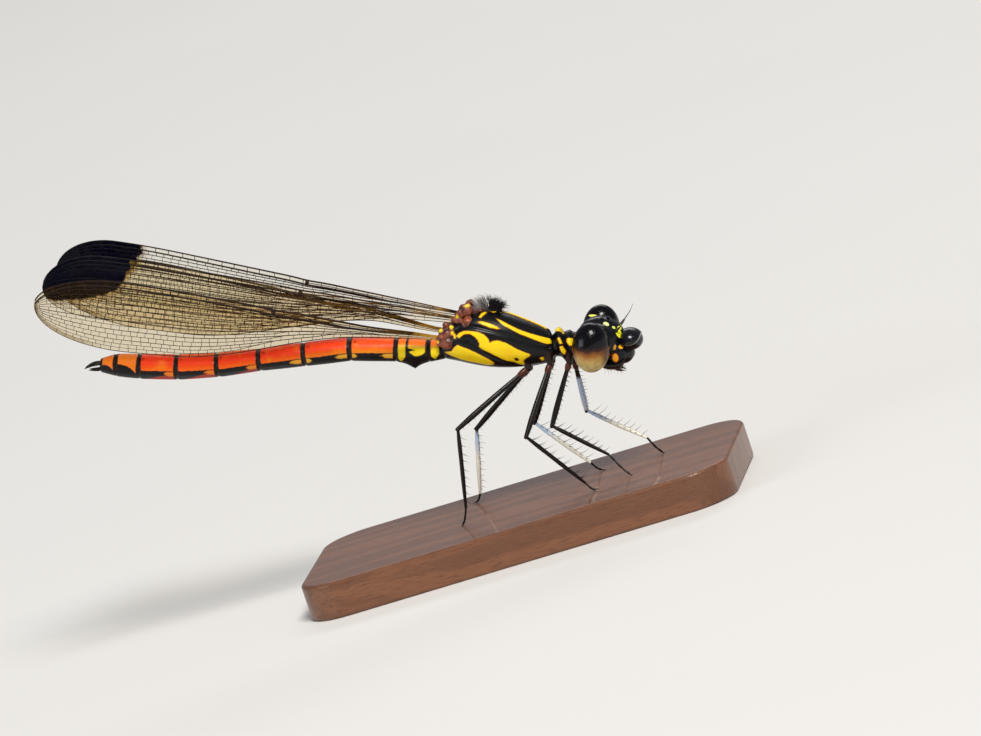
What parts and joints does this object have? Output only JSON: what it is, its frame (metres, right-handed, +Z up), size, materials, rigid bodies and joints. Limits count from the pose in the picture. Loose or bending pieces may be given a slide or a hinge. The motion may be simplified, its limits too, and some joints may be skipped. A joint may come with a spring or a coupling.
{
  "type": "damselfly display model",
  "caption": "Life-size still model of a male jewel damselfly with folded wings, standing on a flat wooden display base.",
  "frame": {"origin": "centre of the display base's underside", "axes": "+X towards the head along the body, +Y towards the insect's left side, +Z up"},
  "size_m": [0.0248, 0.01, 0.0165],
  "materials": {
    "stand_wood": "satin reddish-brown hardwood",
    "head_shell": "glossy black chitin with yellow-green spots",
    "compound_eye": "glossy, black above and cream-brown below",
    "thorax_shell": "glossy black chitin with yellow stripes",
    "abdomen_shell": "satin orange-red chitin with black rings and wedges",
    "leg_shell": "black chitin with pale bluish inner faces",
    "tuft_hair": "dark grey-brown bristles",
    "wing_hinge": "satin reddish-brown chitin",
    "wing_membrane": "clear glossy membrane with dark veins and black forewing tips"
  },
  "bodies": {
    "root": {"stand_base": "stand_wood", "head": "head_shell", "eye_left": "compound_eye", "eye_right": "compound_eye", "clypeus": "head_shell", "labrum": "head_shell", "labium": "head_shell", "antenna_left": "head_shell", "antenna_right": "head_shell", "prothorax": "thorax_shell", "thorax": "thorax_shell", "thorax_tuft": "tuft_hair", "abdomen_1": "abdomen_shell", "abdomen_2": "abdomen_shell", "abdomen_3": "abdomen_shell", "abdomen_4": "abdomen_shell", "abdomen_5": "abdomen_shell", "abdomen_6": "abdomen_shell", "abdomen_7": "abdomen_shell", "abdomen_8": "abdomen_shell", "abdomen_9": "abdomen_shell", "abdomen_10": "abdomen_shell", "cercus_left": "abdomen_shell", "cercus_right": "abdomen_shell", "coxa_front_left": "leg_shell", "femur_front_left": "leg_shell", "tibia_front_left": "leg_shell", "tarsus_front_left": "leg_shell", "coxa_front_right": "leg_shell", "femur_front_right": "leg_shell", "tibia_front_right": "leg_shell", "tarsus_front_right": "leg_shell", "coxa_middle_left": "leg_shell", "femur_middle_left": "leg_shell", "tibia_middle_left": "leg_shell", "tarsus_middle_left": "leg_shell", "coxa_middle_right": "leg_shell", "femur_middle_right": "leg_shell", "tibia_middle_right": "leg_shell", "tarsus_middle_right": "leg_shell", "coxa_hind_left": "leg_shell", "femur_hind_left": "leg_shell", "tibia_hind_left": "leg_shell", "tarsus_hind_left": "leg_shell", "coxa_hind_right": "leg_shell", "femur_hind_right": "leg_shell", "tibia_hind_right": "leg_shell", "tarsus_hind_right": "leg_shell", "wing_base_fore_left": "wing_hinge", "wing_base_hind_left": "wing_hinge", "wing_base_fore_right": "wing_hinge", "wing_base_hind_right": "wing_hinge", "wing_fore_left": "wing_membrane", "wing_hind_left": "wing_membrane", "wing_fore_right": "wing_membrane", "wing_hind_right": "wing_membrane"}
  },
  "joints": []
}
